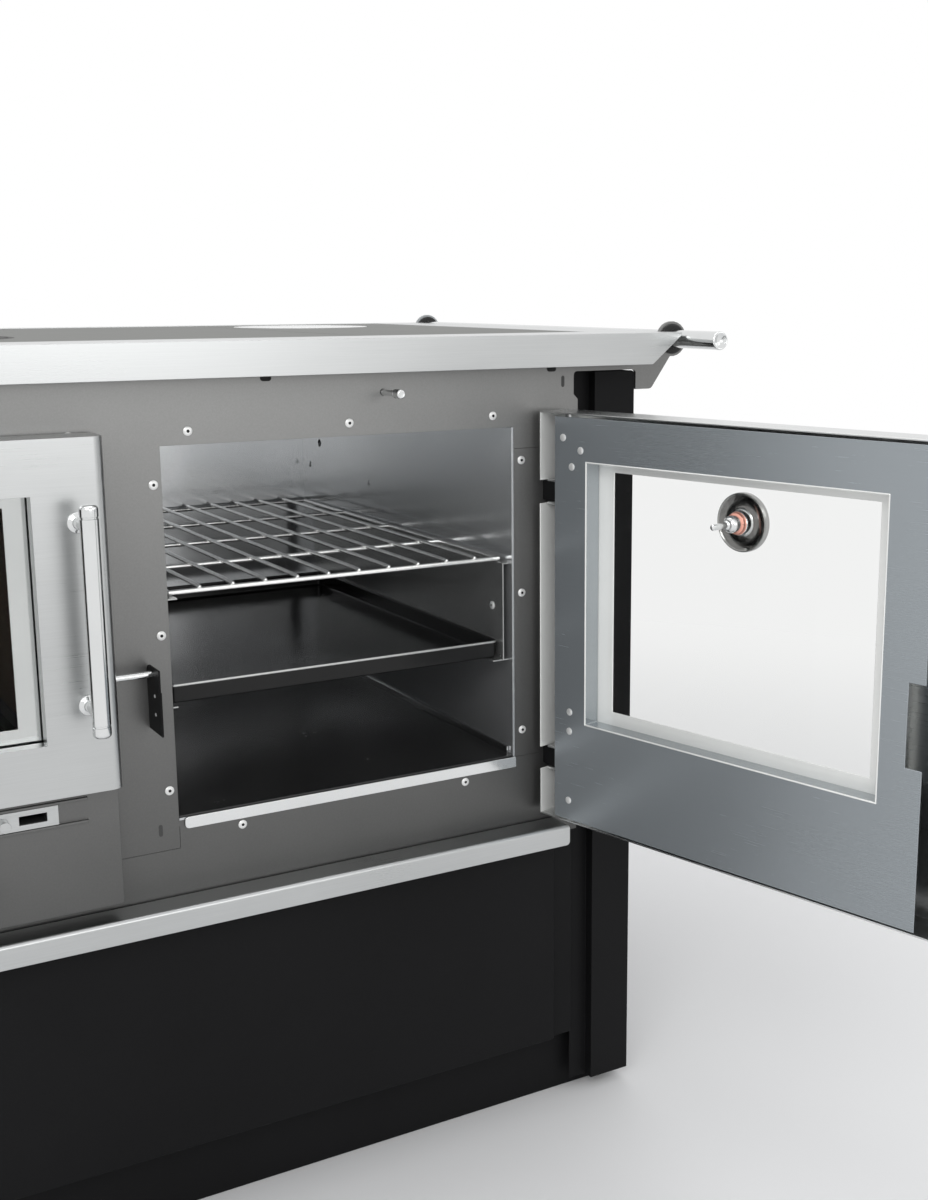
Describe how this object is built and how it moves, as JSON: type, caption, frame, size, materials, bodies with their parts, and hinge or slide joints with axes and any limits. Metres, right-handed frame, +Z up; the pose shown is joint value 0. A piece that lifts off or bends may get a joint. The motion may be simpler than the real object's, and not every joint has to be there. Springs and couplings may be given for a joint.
{
  "type": "wood cookstove",
  "caption": "Wide freestanding wood cooker with a glazed firebox door, a side-hinged oven door standing open over a racked oven, a pull-out wood drawer, a flat hob and side rails.",
  "frame": {"origin": "on the floor, at the middle of the base plate's underside, straight below the middle of the top's width and depth", "axes": "+Z up, -Y out of the front, +X to the oven side (right when facing the front)"},
  "size_m": [1.0601, 1.0625, 0.8704],
  "materials": {
    "black_steel": "matt black paint on sheet steel",
    "plate_grey": "dark grey paint with a low sheen on thick plate",
    "galvanised": "zinc-coated sheet",
    "stainless": "brushed stainless steel",
    "hob_steel": "machined steel plate with a low sheen",
    "cast_iron": "bare cast iron",
    "polished": "polished stainless steel",
    "collar_black": "black bushing",
    "enamel": "glossy black enamel on sheet steel",
    "brick": "fired firebrick",
    "panel_grey": "satin grey steel sheet",
    "glass": "clear heat-resistant glass"
  },
  "bodies": {
    "body": {"plinth": "black_steel", "drawer_bay": "black_steel", "front_plate": "plate_grey", "back_panel": "galvanised", "side_panel_left": "black_steel", "side_panel_right": "black_steel", "top_frame": "stainless", "hob_plate_left": "hob_steel", "hob_plate_right": "hob_steel", "rail_left": "polished", "rail_right": "polished", "collar_front_left": "collar_black", "collar_rear_left": "collar_black", "collar_front_right": "collar_black", "collar_rear_right": "collar_black", "oven_liner": "polished", "oven_floor": "enamel", "oven_sill": "stainless", "rack_support_left": "stainless", "rack_support_right": "stainless", "firebox_shell": "cast_iron", "fire_grate": "cast_iron", "firebrick_left": "brick", "firebrick_right": "brick", "firebrick_back": "brick", "oven_hinge_upper": "black_steel", "oven_hinge_lower": "black_steel", "fire_hinge_upper": "black_steel", "fire_hinge_lower": "black_steel", "door_catch": "black_steel"},
    "oven_door": {"oven_door_shell": "stainless", "oven_door_panel": "panel_grey", "oven_glass_frame": "stainless", "oven_glass": "glass", "oven_handle": "stainless", "oven_thermometer": "polished"},
    "fire_door": {"fire_door_shell": "stainless", "fire_door_panel": "panel_grey", "fire_glass_frame": "stainless", "fire_glass": "glass", "fire_handle": "stainless"},
    "grid": {"oven_grid": "polished"},
    "tray": {"baking_tray": "enamel"},
    "ash_drawer": {"ash_drawer_box": "galvanised", "ash_drawer_front": "plate_grey"},
    "air_control": {"air_slide": "stainless"},
    "wood_drawer": {"wood_drawer_front": "black_steel", "wood_drawer_box": "black_steel", "wood_drawer_grip": "stainless"},
    "damper_pull": {"damper_rod": "polished"},
    "damper": {"damper_flap": "cast_iron"},
    "ring": {"hob_ring": "cast_iron"},
    "lid": {"hob_lid": "cast_iron"},
    "cover": {"flue_cover": "polished"}
  },
  "joints": [
    {"name": "oven_door_hinge", "type": "hinge", "parent": "body", "child": "oven_door", "pos_m": [0.355, -0.297, 0.5682], "axis": [0, 0, 1], "range_deg": [-104.2, 8]},
    {"name": "fire_door_hinge", "type": "hinge", "parent": "body", "child": "fire_door", "pos_m": [-0.355, -0.297, 0.627], "axis": [0, 0, -1], "range_deg": [0, 110]},
    {"name": "grid_slide", "type": "slide", "parent": "body", "child": "grid", "axis": [0, -1, 0], "range_m": [0, 0.4]},
    {"name": "tray_slide", "type": "slide", "parent": "body", "child": "tray", "axis": [0, -1, 0], "range_m": [0, 0.4]},
    {"name": "ash_drawer_slide", "type": "slide", "parent": "body", "child": "ash_drawer", "axis": [0, -1, 0], "range_m": [0, 0.25]},
    {"name": "air_control_slide", "type": "slide", "parent": "ash_drawer", "child": "air_control", "axis": [1, 0, 0], "range_m": [0, 0.026]},
    {"name": "wood_drawer_slide", "type": "slide", "parent": "body", "child": "wood_drawer", "axis": [0, -1, 0], "range_m": [0, 0.4]},
    {"name": "damper_pull_slide", "type": "slide", "parent": "body", "child": "damper_pull", "axis": [0, -1, 0], "range_m": [0, 0.03]},
    {"name": "damper_turn", "type": "hinge", "parent": "body", "child": "damper", "pos_m": [0.1683, 0.06, 0.838], "axis": [1, 0, 0], "range_deg": [-75, 2]},
    {"name": "ring_lift", "type": "slide", "parent": "body", "child": "ring", "axis": [0, 0, 1], "range_m": [0, 0.06]},
    {"name": "lid_lift", "type": "slide", "parent": "ring", "child": "lid", "axis": [0, 0, 1], "range_m": [0, 0.06]},
    {"name": "cover_lift", "type": "slide", "parent": "body", "child": "cover", "axis": [0, 0, 1], "range_m": [0, 0.06]}
  ],
  "couplings": [
    {"joint": "damper_turn", "follows": "damper_pull_slide", "rad_per_m": -40.7}
  ]
}
